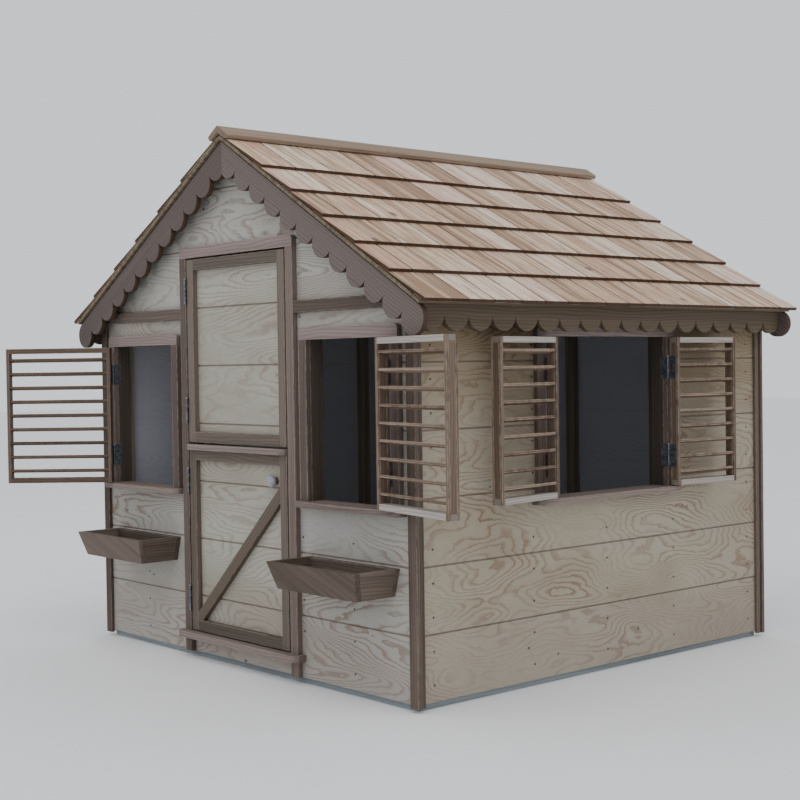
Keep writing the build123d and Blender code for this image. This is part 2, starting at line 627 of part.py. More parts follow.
def make_bargeboards():
    centre = (BARGE_ROUND_X + BARGE_ROUND * SIN_ROOF) / COS_ROOF
    rake = Plane(origin=(0, -BARGE_BACK_Y, BARGE_TOP_APEX), x_dir=(COS_ROOF, 0, -SIN_ROOF), z_dir=(0, -1, 0))
    board = extrude(rake * make_face(barge_outline(centre)), BOARD)
    right_half = block((0, 2 * HALF_WIDTH), (-2 * HALF_DEPTH, 0), (0, 2 * DECK_TOP_APEX))
    front = left_and_right(board & right_half)
    keep("front_bargeboards", front)
    keep("rear_bargeboards", [piece.mirror(Plane.XZ) for piece in front])


def make_fascias():
    height = SCALLOP_DEPTH - FACE_BOARD
    length = 2 * BARGE_BACK_Y
    count = round(length / SCALLOP_PITCH)
    pitch = length / count
    cusps = [BARGE_BACK_Y - step * pitch for step in range(count + 1)]
    edges = [
        Line((cusps[-1], height), (cusps[-1], 0)),
        Line((cusps[-1], 0), (cusps[0], 0)),
        Line((cusps[0], 0), (cusps[0], height)),
    ]
    wall = Plane(origin=(FASCIA_BACK_X, 0, FASCIA_TOP), x_dir=(0, 1, 0), z_dir=(1, 0, 0))
    board = extrude(wall * make_face(Wire(edges + lobe_edges(cusps, height))), BOARD)
    keep("eave_fascias", left_and_right(board))


# ---------------------------------------------------------------- shingles
def slope_plate(profile, y_low, y_high):
    """A profile given along and above the right-hand sheathing, run between two depths."""
    points = []
    for along, above in profile:
        x = along * COS_ROOF + above * SIN_ROOF
        points.append((x, DECK_TOP_APEX - along * SIN_ROOF + above * COS_ROOF))
    return front_plate(polygon(points), y_high, y_high - y_low)


def shingle_widths(chance):
    """Widths of one course of shingles, drawn at random, that fill the roof from rake to rake."""
    length = 2 * SHINGLE_END_Y
    widths = []
    while sum(widths) < length:
        widths.append(chance.uniform(SHINGLE_NARROWEST, SHINGLE_WIDEST))
    scale = length / sum(widths)
    return [width * scale for width in widths]


def course_under(back_from_butts):
    """Height of a course's underside over the sheathing, at a distance up the slope from its butts."""
    return SHINGLE_SEAT * (1 - back_from_butts / SHINGLE_LENGTH)


def make_starter_strips():
    low = EAVE_ALONG - STARTER_INSET
    high = EAVE_ALONG - SHINGLE_LAP
    profile = [(high, 0), (low, 0), (low, course_under(STARTER_INSET)), (high, course_under(SHINGLE_LAP))]
    strip = slope_plate(profile, -SHINGLE_END_Y, SHINGLE_END_Y)
    keep("starter_strips", left_and_right(strip))


def shingled_slope(seed):
    """All the shingles of the right-hand slope, course by course from the ridge down."""
    chance = random.Random(seed)
    pieces = []
    for course in range(COURSES):
        butt = FIRST_ALONG + course * EXPOSURE
        head = butt - SHINGLE_LENGTH if course else RIDGE_HEAD
        top = SHINGLE_SEAT + SHINGLE_BUTT
        profile = [(head, 0), (butt, SHINGLE_SEAT), (butt, top), (head, SHINGLE_HEAD)]
        y = -SHINGLE_END_Y
        for width in shingle_widths(chance):
            pieces.append(slope_plate(profile, y + SHINGLE_GAP / 2, y + width - SHINGLE_GAP / 2))
            y += width
    return pieces


def make_shingles():
    keep("shingles_right", shingled_slope(RIGHT_SEED))
    keep("shingles_left", [piece.mirror(Plane.YZ) for piece in shingled_slope(LEFT_SEED)])


def make_ridge_cap():
    y = SHINGLE_END_Y + CAP_PAST_SHINGLES
    top = CAP_LIFT + BOARD
    profile = [(-BOARD, CAP_LIFT), (RIDGE_CAP_WIDTH, CAP_LIFT), (RIDGE_CAP_WIDTH, top), (-BOARD, top)]
    board = slope_plate(profile, -y, y)
    board &= block((0, HALF_WIDTH), (-2 * y, 2 * y), (0, 2 * DECK_TOP_APEX))
    lower = board.edges().filter_by(Axis.Y).sort_by(Axis.X)[-2:]
    keep("ridge_cap", left_and_right(fillet(lower, CAP_ROUND)))


# ---------------------------------------------------------------- flower boxes
def make_flower_box(x):
    """One flower box on the front wall, centred at x."""
    low = BOX_BOTTOM
    trapezium = polygon([(-BOX_HALF_BOTTOM, low), (BOX_HALF_BOTTOM, low), (BOX_HALF_TOP, BOX_TOP),
                         (-BOX_HALF_TOP, BOX_TOP)])
    back = front_plate(trapezium, -HALF_DEPTH, BOARD)
    top_y = -HALF_DEPTH - BOX_DEPTH_TOP
    low_y = top_y + BOX_SLANT
    thick = BOARD / math.cos(math.atan2(BOX_SLANT, BOX_HEIGHT))   # level, through the slanting board
    section = polygon([(low_y, low), (top_y, BOX_TOP), (top_y + thick, BOX_TOP), (low_y + thick, low)])
    wide = side_plate(section, -BOX_HALF_TOP, 2 * BOX_HALF_TOP)
    front = wide & front_plate(trapezium, 0, 2 * HALF_DEPTH)

    room = polygon([(low_y + thick, low), (top_y + thick, BOX_TOP), (TRIM_FACE_Y, BOX_TOP),
                    (TRIM_FACE_Y, low)])
    filling = side_plate(room, -BOX_HALF_TOP, 2 * BOX_HALF_TOP)
    end = polygon([(BOX_HALF_BOTTOM, low), (BOX_HALF_TOP, BOX_TOP), (BOX_HALF_TOP - BOARD, BOX_TOP),
                   (BOX_HALF_BOTTOM - BOARD, low)])
    side = filling & front_plate(end, 0, 2 * HALF_DEPTH)
    floor_half = BOX_HALF_BOTTOM - BOARD
    wider = BOX_END_SLANT * BOARD / BOX_HEIGHT      # how much further out the floor's top edge is
    floor = polygon([(-floor_half, low), (floor_half, low), (floor_half + wider, low + BOARD),
                     (-floor_half - wider, low + BOARD)])
    bottom = filling & front_plate(floor, 0, 2 * HALF_DEPTH)
    return [Pos(x, 0, 0) * piece for piece in [back, front, bottom] + left_and_right(side)]


# ---------------------------------------------------------------- hinges
def knuckle(sign, gap, low, high):
    """One rolled knuckle and the strip that joins it to the plate on the side that sign gives."""
    middle = (low + high) / 2
    bore = Pos(0, 0, middle) * Cylinder(PIN_RADIUS + PIN_CLEARANCE, high - low)
    ring = Pos(0, 0, middle) * Cylinder(KNUCKLE_RADIUS, high - low)
    strip = block((sign * gap / 2, sign * (gap / 2 - PLATE)), (0, PLATE_START), (low, high))
    return ring + strip - bore


def hinge(height, gap):
    """A shut butt hinge with its upright pin at the origin, for a leaf that lies to +X.

    Returns the jamb's half, the leaf's half and the pin.
    """
    share = height / KNUCKLES
    halves = []
    for sign in (-1, 1):
        x = (sign * gap / 2, sign * (gap / 2 - PLATE))
        half = block(x, (PLATE_START, PLATE_START + PLATE_REACH), (-height / 2, height / 2))
        first = 0 if sign < 0 else 1
        for step in range(first, KNUCKLES, 2):
            low = -height / 2 + step * share
            half += knuckle(sign, gap, low + KNUCKLE_GAP / 2, low + share - KNUCKLE_GAP / 2)
        halves.append(half)
    rod = Cylinder(PIN_RADIUS, height - KNUCKLE_GAP)
    head = Pos(0, 0, (height - KNUCKLE_GAP + PIN_HEAD) / 2) * Cylinder(KNUCKLE_RADIUS, PIN_HEAD)
    return halves[0], halves[1], rod + head


def hinge_set(height, gap, levels):
    """Hinges at several heights about one pin line: jamb halves, leaf halves and pins."""
    jamb, leaf, pins = [], [], []
    for store, shape in zip((jamb, leaf, pins), hinge(height, gap)):
        store += [Pos(0, 0, z) * shape for z in levels]
    return jamb, leaf, pins


# ---------------------------------------------------------------- door
def leaf_boards(low, high):
    """Panel and frame boards of one door leaf between two heights."""
    panel = block((-LEAF_HALF, LEAF_HALF), (-HALF_DEPTH, -INNER_HALF_DEPTH), (low, high))
    panel = groove_front(panel, low, high)
    y = (TRIM_FACE_Y, -HALF_DEPTH)
    inner = LEAF_HALF - TRIM
    frame = left_and_right(block((inner, LEAF_HALF), y, (low, high)))
    frame.append(block((-inner, inner), y, (low, low + TRIM)))
    frame.append(block((-inner, inner), y, (high - TRIM, high)))
    return panel, frame


def make_brace():
    """The slanting board of the lower leaf, cut to fit between the frame boards."""
    inner = LEAF_HALF - TRIM
    low = LOWER_LEAF_BOTTOM + TRIM
    high = LOWER_LEAF_TOP - TRIM - BRACE_DROP
    slope = (high - low) / (2 * inner)
    half = TRIM / 2 / math.cos(math.atan(slope))
    foot = low - TRIM * slope
    band = polygon([(-inner - TRIM, foot - half), (inner, high - half), (inner, high + half),
                    (-inner - TRIM, foot + half)])
    room = block((-inner, inner), (TRIM_FACE_Y, -HALF_DEPTH), (low, LOWER_LEAF_TOP))
    return front_plate(band, -HALF_DEPTH, BOARD) & room


def make_knob():
    """A turned knob on the panel, its axis along Y."""
    shoulder = KNOB_LENGTH - KNOB_DOME
    widest = (KNOB_RADIUS, (KNOB_NECK_LENGTH + shoulder) / 2)
    edges = [
        Line((0, 0), (KNOB_FOOT, 0)),
        Line((KNOB_FOOT, 0), (KNOB_NECK, KNOB_NECK_LENGTH)),
        ThreePointArc((KNOB_NECK, KNOB_NECK_LENGTH), widest, (KNOB_TIP, shoulder)),
        Line((KNOB_TIP, shoulder), (0, KNOB_LENGTH)),
        Line((0, KNOB_LENGTH), (0, 0)),
    ]
    lathe = Plane(origin=(KNOB_X, -HALF_DEPTH, KNOB_Z), x_dir=(1, 0, 0), z_dir=(0, 0, -1))
    return revolve(lathe * make_face(Wire(edges)), Axis((KNOB_X, 0, KNOB_Z), (0, 1, 0)))


def make_shelf():
    """The ledge on top of the lower leaf, over the leaf's own boards."""
    nose = nosed_board(LEAF_HALF, BOARD + SHELF_REACH, LOWER_LEAF_TOP, BOARD)
    z = (LOWER_LEAF_TOP, SHELF_TOP)
    inner = block((-LEAF_HALF, LEAF_HALF), (-HALF_DEPTH, -INNER_HALF_DEPTH), z)
    return Pos(0, -HALF_DEPTH, 0) * nose + inner


def make_door():
    hinge_place = Pos(DOOR_PIN_X, DOOR_PIN_Y, 0)
    jamb, upper, pins = hinge_set(DOOR_HINGE_HEIGHT, DOOR_GAP, UPPER_HINGE_Z)
    lower_jamb, lower, lower_pins = hinge_set(DOOR_HINGE_HEIGHT, DOOR_GAP, LOWER_HINGE_Z)
    keep("door_hinge_jamb_leaves", [hinge_place * shape for shape in jamb + lower_jamb])
    keep("upper_door_hinge_leaves", [hinge_place * shape for shape in upper])
    keep("lower_door_hinge_leaves", [hinge_place * shape for shape in lower])
    door_pins = [hinge_place * shape for shape in pins + lower_pins]

    panel, frame = leaf_boards(UPPER_LEAF_BOTTOM, UPPER_LEAF_TOP)
    keep("upper_door_panel", [panel])
    keep("upper_door_frame", frame)
    panel, frame = leaf_boards(LOWER_LEAF_BOTTOM, LOWER_LEAF_TOP)
    keep("lower_door_panel", [panel])
    keep("lower_door_frame", frame)
    keep("lower_door_brace", [make_brace()])
    keep("lower_door_shelf", [make_shelf()])
    keep("lower_door_knob", [make_knob()])
    return door_pins


# ---------------------------------------------------------------- shutters
def shutter_boards(width):
    """Frame and slats of a shut shutter, its hinge pin at the origin and the shutter to +X.

    Each frame member is a core with a thin strip on either face. The rails' cores and the stiles'
    strips run the full length.
    """
    x = (SHUTTER_GAP / 2, SHUTTER_GAP / 2 + width)
    outer = HINGE_STAND_OFF + SHUTTER_RECESS
    core = (outer + SHUTTER_FACE_STRIP, outer + SHUTTER_DEPTH - SHUTTER_FACE_STRIP)
    faces = [(outer, core[0]), (core[1], outer + SHUTTER_DEPTH)]
    z = (SHUTTER_BOTTOM, SHUTTER_BOTTOM + SHUTTER_HEIGHT)
    stiles = [(x[0], x[0] + SHUTTER_STILE), (x[1] - SHUTTER_STILE, x[1])]
    rails = [(z[0], z[0] + BOARD), (z[1] - BOARD, z[1])]
    between = (stiles[0][1], stiles[1][0])
    frame = [block(x, core, rail) for rail in rails]
    frame += [block(stile, core, (rails[0][1], rails[1][0])) for stile in stiles]
    for face in faces:
        frame += [block(stile, face, z) for stile in stiles]
        frame += [block(between, face, rail) for rail in rails]

    pitch = (rails[1][0] - rails[0][1]) / SLATS
    slats = []
    for step in range(SLATS):
        height = rails[0][1] + (step + 0.5) * pitch
        slat = Box(between[1] - between[0], SLAT_WIDTH, SLAT_THICKNESS)
        slats.append(Pos(sum(x) / 2, outer + SHUTTER_DEPTH / 2, height) * Rot(SLAT_TILT, 0, 0) * slat)
    return frame, slats


def make_shutter(name, width, place, hand, degrees):
    """One open shutter, its pin line put on the house by place. A hand of -1 hangs it on the right."""
    frame, slats = shutter_boards(width)
    jamb, leaf, pins = hinge_set(SHUTTER_HINGE_HEIGHT, SHUTTER_GAP, SHUTTER_HINGE_Z)
    open_up = Rot(0, 0, -degrees)
    moving = {"frame": frame, "slats": slats, "hinge_leaves": leaf}
    moving = {part: [open_up * shape for shape in shapes] for part, shapes in moving.items()}
    fixed = {"jamb": jamb, "pins": pins}
    for group in (moving, fixed):
        for part, shapes in group.items():
            if hand < 0:
                shapes = [shape.mirror(Plane.YZ) for shape in shapes]
            group[part] = [place * shape for shape in shapes]
    for part, shapes in moving.items():
        keep(name + "_" + part, shapes)
    return fixed["jamb"], fixed["pins"]


def make_shutters():
    front_pin = WINDOW_WIDTH / 2 - SHUTTER_GAP / 2
    side_pin = SIDE_WINDOW_WIDTH / 2 - SHUTTER_GAP / 2
    y = TRIM_FACE_Y - HINGE_STAND_OFF
    side_x = TRIM_FACE_X + HINGE_STAND_OFF
    left = Pos(-FRONT_WINDOW_X - front_pin, y, 0)
    right = Pos(FRONT_WINDOW_X + front_pin, y, 0)
    side_front = Pos(side_x, -side_pin, 0) * Rot(0, 0, 90)
    side_rear = Pos(side_x, side_pin, 0) * Rot(0, 0, 90)
    plans = [
        ("shutter_front_left", FRONT_SHUTTER_WIDTH, left, 1, FRONT_LEFT_OPEN),
        ("shutter_front_right", FRONT_SHUTTER_WIDTH, right, -1, FRONT_RIGHT_OPEN),
        ("shutter_side_front", SIDE_SHUTTER_WIDTH, side_front, 1, SIDE_FRONT_OPEN),
        ("shutter_side_rear", SIDE_SHUTTER_WIDTH, side_rear, -1, SIDE_REAR_OPEN),
    ]
    jambs, pins = [], []
    for plan in plans:
        jamb, pin = make_shutter(*plan)
        jambs += jamb
        pins += pin
    keep("shutter_hinge_jamb_leaves", jambs)
    return pins


# ---------------------------------------------------------------- nails
def nail(x, z):
    """A nail driven into the front wall at x, z."""
    level = Rot(90, 0, 0)
    head = Pos(0, -NAIL_HEAD_HEIGHT / 2, 0) * level * Cylinder(NAIL_HEAD_RADIUS, NAIL_HEAD_HEIGHT)
    shank = Pos(0, NAIL_LENGTH / 2, 0) * level * Cylinder(NAIL_SHANK_RADIUS, NAIL_LENGTH)
    return Pos(x, -HALF_DEPTH, z) * (head + shank)


def nail_column(x, low=SIDING_BOTTOM, high=WALL_TOP - TRIM, keep_clear=(0, 0)):
    """Two nails in each siding board between two heights, with none where another board is in the way."""
    spacing = GROOVE_PITCH / 2
    count = math.ceil(WALL_HEIGHT / spacing)
    heights = [SIDING_BOTTOM + (step + 0.5) * spacing for step in range(count)]
    return [nail(x, z) for z in heights if low < z < high and not keep_clear[0] < z < keep_clear[1]]


def make_nails():
    box = (BOX_BOTTOM - STUD, BOX_TOP + STUD)
    sill = (SILL_BOTTOM - BOARD, WINDOW_SILL_TOP + BOARD)
    front = nail_column(FRONT_WINDOW_X, high=SILL_BOTTOM - BOARD, keep_clear=box)
    front += nail_column(DOOR_CASING + WINDOW_SIDE_GAP / 2, low=THRESHOLD_TOP + BOARD, keep_clear=sill)
    pieces = []
    for piece in front:
        pieces += left_and_right(piece)

    outer = INNER_HALF_WIDTH - 1.5 * STUD
    back = nail_column(0)
    for x in (outer / 2, outer):
        for piece in nail_column(x):
            back += left_and_right(piece)
    pieces += [piece.mirror(Plane.XZ) for piece in back]

    outer = INNER_HALF_DEPTH - 1.5 * STUD
    right = nail_column(0, high=SILL_BOTTOM - BOARD)
    left = nail_column(0)
    beside_window = (SIDE_WINDOW_WIDTH / 2 + TRIM + SIDE_ROUGH + STUD) / 2
    for side in (-1, 1):
        right += nail_column(side * outer)
        right += nail_column(side * beside_window, keep_clear=sill)
        left += nail_column(side * outer) + nail_column(side * outer / 2)
    pieces += to_right_wall(right)
    pieces += [piece.mirror(Plane.YZ) for piece in to_right_wall(left)]
    keep("siding_nails", pieces)


# ---------------------------------------------------------------- build
def build():
    make_floor()
    make_front_wall_frame()
    make_back_wall_frame()
    make_side_wall_frames()
    make_siding()
    make_corner_trims()
    make_belly_bands()
    make_door_surround()
    make_windows()
    make_roof_frame()
    make_roof_deck()
    make_bargeboards()
    make_fascias()
    make_starter_strips()
    make_shingles()
    make_ridge_cap()
    keep("flower_box_left", make_flower_box(-FRONT_WINDOW_X))
    keep("flower_box_right", make_flower_box(FRONT_WINDOW_X))
    keep("hinge_pins", make_door() + make_shutters())
    make_nails()

    os.makedirs("parts", exist_ok=True)
    for name, pieces in nodes.items():
        shape = Compound(children=pieces) if len(pieces) > 1 else pieces[0]
        export_step(shape, "parts/" + name + ".step")


build()
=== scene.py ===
"""Looks of the garden playhouse: grained, weathered wood on every board, and soft studio light.

Lengths are in metres. X runs along the front wall, Y towards the back wall and Z is up.
"""

import math
import random

import bpy
import numpy as np
from mathutils import Matrix, Vector


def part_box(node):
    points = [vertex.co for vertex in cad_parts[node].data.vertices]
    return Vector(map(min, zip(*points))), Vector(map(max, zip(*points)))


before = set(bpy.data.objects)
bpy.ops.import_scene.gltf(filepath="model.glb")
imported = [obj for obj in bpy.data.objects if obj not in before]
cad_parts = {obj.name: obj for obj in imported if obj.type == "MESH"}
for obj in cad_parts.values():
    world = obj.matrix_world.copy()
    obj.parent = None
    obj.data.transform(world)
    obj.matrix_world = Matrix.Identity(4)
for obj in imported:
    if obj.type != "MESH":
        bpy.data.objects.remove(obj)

# ---------------------------------------------------------------- sizes
GROOVE_PITCH = 0.2032     # the siding's level grooves
EDGE_ROUND = 0.0012       # rounding of a sawn board's edges
EDGE_SEGMENTS = 2
SHARP_EDGE = math.radians(40)
BOARDS_APART = 4.0        # how far boards are moved apart while their faces are joined
JOIN_WITHIN = 0.0001
PLACE_STEPS = 1e5         # corners are matched to a hundredth of a millimetre
SQUARE_WITHIN = 0.05      # cosine of two directions that count as square
ODD_DIRECTION = (0.3, 0.5, 0.8)    # in line with no board
SIDING_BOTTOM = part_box("front_siding")[0][2]
WALL_FACE_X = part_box("right_siding")[1][0]
WALL_FACE_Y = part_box("back_siding")[1][1]
SHEET_BACK = 0.008        # deeper than this below the wall face is inside the house
SHEET_FADE = 0.002        # over which the inside's colour sets in
CEDAR_LINES = 0.011       # between the growth lines of stained cedar
SOFTWOOD_LINES = 0.016
BOARD_SEED = 5
SEED_SPREAD = (31.0, 17.0)         # how far seeds set the boards' grain apart

# Distances, each as where a mark begins and where it is full
END_GRAIN = (0.0022, 0.0012)      # from a board's end
WORN_EDGE = (0.0034, 0.0006)      # from an edge of a stained board
RUBBED_EDGE = (0.004, 0.0005)     # from an edge of bare softwood
SHINGLE_RIM = (0.007, 0.001)      # from an edge of a shingle
# width of the painted shade in the middle of each groove
GROOVE_SHADE = (0.0036, 0.0022)    # from the middle of a groove
GROOVE_SOIL = (0.016, 0.002)
DAMP = (0.34, 0.06)               # above the ground
# heights over which the painted eave shadow sets in on the right wall
EAVE_SHADE_HEIGHTS = (0.74, 1.22)
RIGHT_FACE = (0.020, 0.015)       # behind the right wall's face
NECK = (0.013, 0.009)             # in front of the front wall's face

# Sockets of a mix node that are for colours
MIX_FACTOR = 0
MIX_FIRST = 6
MIX_SECOND = 7
MIX_RESULT = 2

# Camera, at the angle and distance of the photo
CAMERA_PLACE = (4.0377, -3.6555, 1.025)
CAMERA_TURN = math.radians(48.875)
CAMERA_TILT = math.radians(-1.3576)
CAMERA_ROLL = math.radians(-0.8351)
CAMERA_LENS = 64.57       # millimetres, as is the sensor
SENSOR_WIDTH = 36.0

# Studio
FLOOR_SIZE = 60.0
FLOOR_LEVEL = -0.001      # just under the house
SKY_COLOUR = (0.93, 0.96, 1.0, 1.0)
SKY_STRENGTH = 1.0
LAMP_AIM = (0, 0, 0.9)    # the middle of the house
LAMPS = [                 # name, place, size, power, colour
    ("high key", (2.5, -3.0, 6.5), 5.0, 120.0, (1.0, 0.985, 0.96)),
    ("left fill", (-5.0, -4.5, 3.2), 4.0, 40.0, (0.95, 0.97, 1.0)),
]


# ---------------------------------------------------------------- boards of a node
def closed_shells(mesh):
    """Number of the board that each polygon belongs to.

    A node's boards follow one another in its polygons, and a board ends where its surface closes.
    """
    places = np.empty(len(mesh.vertices) * 3)
    mesh.vertices.foreach_get("co", places)
    keys = [tuple(row) for row in np.round(places.reshape(-1, 3) * PLACE_STEPS).astype(int)]
    board = 0
    open_edges = set()
    numbers = []
    for polygon in mesh.polygons:
        corners = [keys[index] for index in polygon.vertices]
        for first, second in zip(corners, corners[1:] + corners[:1]):
            if first != second:
                open_edges ^= {frozenset((first, second))}
        numbers.append(board)
        if not open_edges:
            board += 1
    return np.array(numbers)


def board_axes(normals, areas, points):
    """Three square directions of a board, the longest first, from the areas its faces have."""
    rounded = np.round(normals, 2)
    rounded[rounded[:, 0] < 0] *= -1
    kinds, member = np.unique(rounded, axis=0, return_inverse=True)
    weight = np.bincount(member.ravel(), areas)
    widest = kinds[weight.argmax()]
    widest = widest / np.linalg.norm(widest)
    across = weight * (np.abs(kinds @ widest) < SQUARE_WITHIN)
    if across.max() <= 0:
        other = np.cross(widest, ODD_DIRECTION)
    else:
        other = kinds[across.argmax()]
        other = other - widest * (other @ widest)
    other = other / np.linalg.norm(other)
    axes = np.array([widest, other, np.cross(widest, other)])
    reach = np.ptp(points @ axes.T, axis=0)
    return axes[np.argsort(-reach)]


def describe_boards(obj, chance):
    """Store on each corner of a node's mesh where it lies on its board.

    grain is the place along, across and through the board, span is half the board's size,
    seed is a number of the board's own, and upright is 1 where the board stands on end.
    shift, on each vertex, is how far the board moves while its faces are joined.
    """
    mesh = obj.data
    count = len(mesh.polygons)
    numbers = closed_shells(mesh)
    normals = np.empty(count * 3)
    areas = np.empty(count)
    starts = np.empty(count, int)
    totals = np.empty(count, int)
    corner_vertex = np.empty(len(mesh.loops), int)
    places = np.empty(len(mesh.vertices) * 3)
    mesh.polygons.foreach_get("normal", normals)
    mesh.polygons.foreach_get("area", areas)
    mesh.polygons.foreach_get("loop_start", starts)
    mesh.polygons.foreach_get("loop_total", totals)
    mesh.loops.foreach_get("vertex_index", corner_vertex)
    mesh.vertices.foreach_get("co", places)
    normals = normals.reshape(-1, 3)
    places = places.reshape(-1, 3)
    corner_board = np.repeat(numbers, totals)
    corner_place = places[corner_vertex]

    grain = np.zeros((len(corner_vertex), 3), np.float32)
    span = np.zeros((len(corner_vertex), 3), np.float32)
    seed = np.zeros(len(corner_vertex), np.float32)
    upright = np.zeros(len(corner_vertex), np.float32)
    shift = np.zeros((len(places), 3), np.float32)
    side = math.ceil((numbers.max() + 1) ** (1 / 3))
    for board in range(numbers.max() + 1):
        faces = numbers == board
        corners = corner_board == board
        points = corner_place[corners]
        axes = board_axes(normals[faces], areas[faces], points)
        local = points @ axes.T
        low = local.min(0)
        high = local.max(0)
        grain[corners] = local - (low + high) / 2
        span[corners] = (high - low) / 2
        seed[corners] = chance.random()
        upright[corners] = abs(axes[0][2])
        cell = (board % side, board // side % side, board // side // side)
        shift[corner_vertex[corners]] = np.array(cell) * BOARDS_APART
    for name, kind, place, values in (("grain", "FLOAT_VECTOR", "CORNER", grain),
                                      ("span", "FLOAT_VECTOR", "CORNER", span),
                                      ("seed", "FLOAT", "CORNER", seed),
                                      ("upright", "FLOAT", "CORNER", upright),
                                      ("shift", "FLOAT_VECTOR", "POINT", shift)):
        attribute = mesh.attributes.new(name, kind, place)
        attribute.data.foreach_set("vector" if kind == "FLOAT_VECTOR" else "value", values.ravel())


def joined_boards():
    """Geometry nodes that join each board's faces along their edges, board by board.

    The boards are moved apart while they are joined, so that boards that touch stay separate.
    """
    tree = bpy.data.node_groups.new("join_boards", "GeometryNodeTree")
    tree.interface.new_socket("Geometry", in_out="INPUT", socket_type="NodeSocketGeometry")
    tree.interface.new_socket("Geometry", in_out="OUTPUT", socket_type="NodeSocketGeometry")
    start = tree.nodes.new("NodeGroupInput")
    end = tree.nodes.new("NodeGroupOutput")
    shift = tree.nodes.new("GeometryNodeInputNamedAttribute")
    shift.data_type = "FLOAT_VECTOR"
    shift.inputs["Name"].default_value = "shift"
    back = tree.nodes.new("ShaderNodeVectorMath")
    back.operation = "SCALE"
    back.inputs["Scale"].default_value = -1.0
    apart = tree.nodes.new("GeometryNodeSetPosition")
    merge = tree.nodes.new("GeometryNodeMergeByDistance")
    merge.inputs["Distance"].default_value = JOIN_WITHIN
    together = tree.nodes.new("GeometryNodeSetPosition")
    link = tree.links.new
    link(start.outputs[0], apart.inputs["Geometry"])
    link(shift.outputs["Attribute"], apart.inputs["Offset"])
    link(apart.outputs[0], merge.inputs["Geometry"])
    link(merge.outputs[0], together.inputs["Geometry"])
    link(shift.outputs["Attribute"], back.inputs[0])
    link(back.outputs["Vector"], together.inputs["Offset"])
    link(together.outputs[0], end.inputs[0])
    return tree


def soften_edges(obj, tree):
    """Join a node's faces into boards and round their edges."""
    join = obj.modifiers.new("join boards", "NODES")
    join.node_group = tree
    bevel = obj.modifiers.new("soft edges", "BEVEL")
    bevel.width = EDGE_ROUND
    bevel.segments = EDGE_SEGMENTS
    bevel.limit_method = "ANGLE"
    bevel.angle_limit = SHARP_EDGE
    bevel.use_clamp_overlap = True
    bevel.harden_normals = True


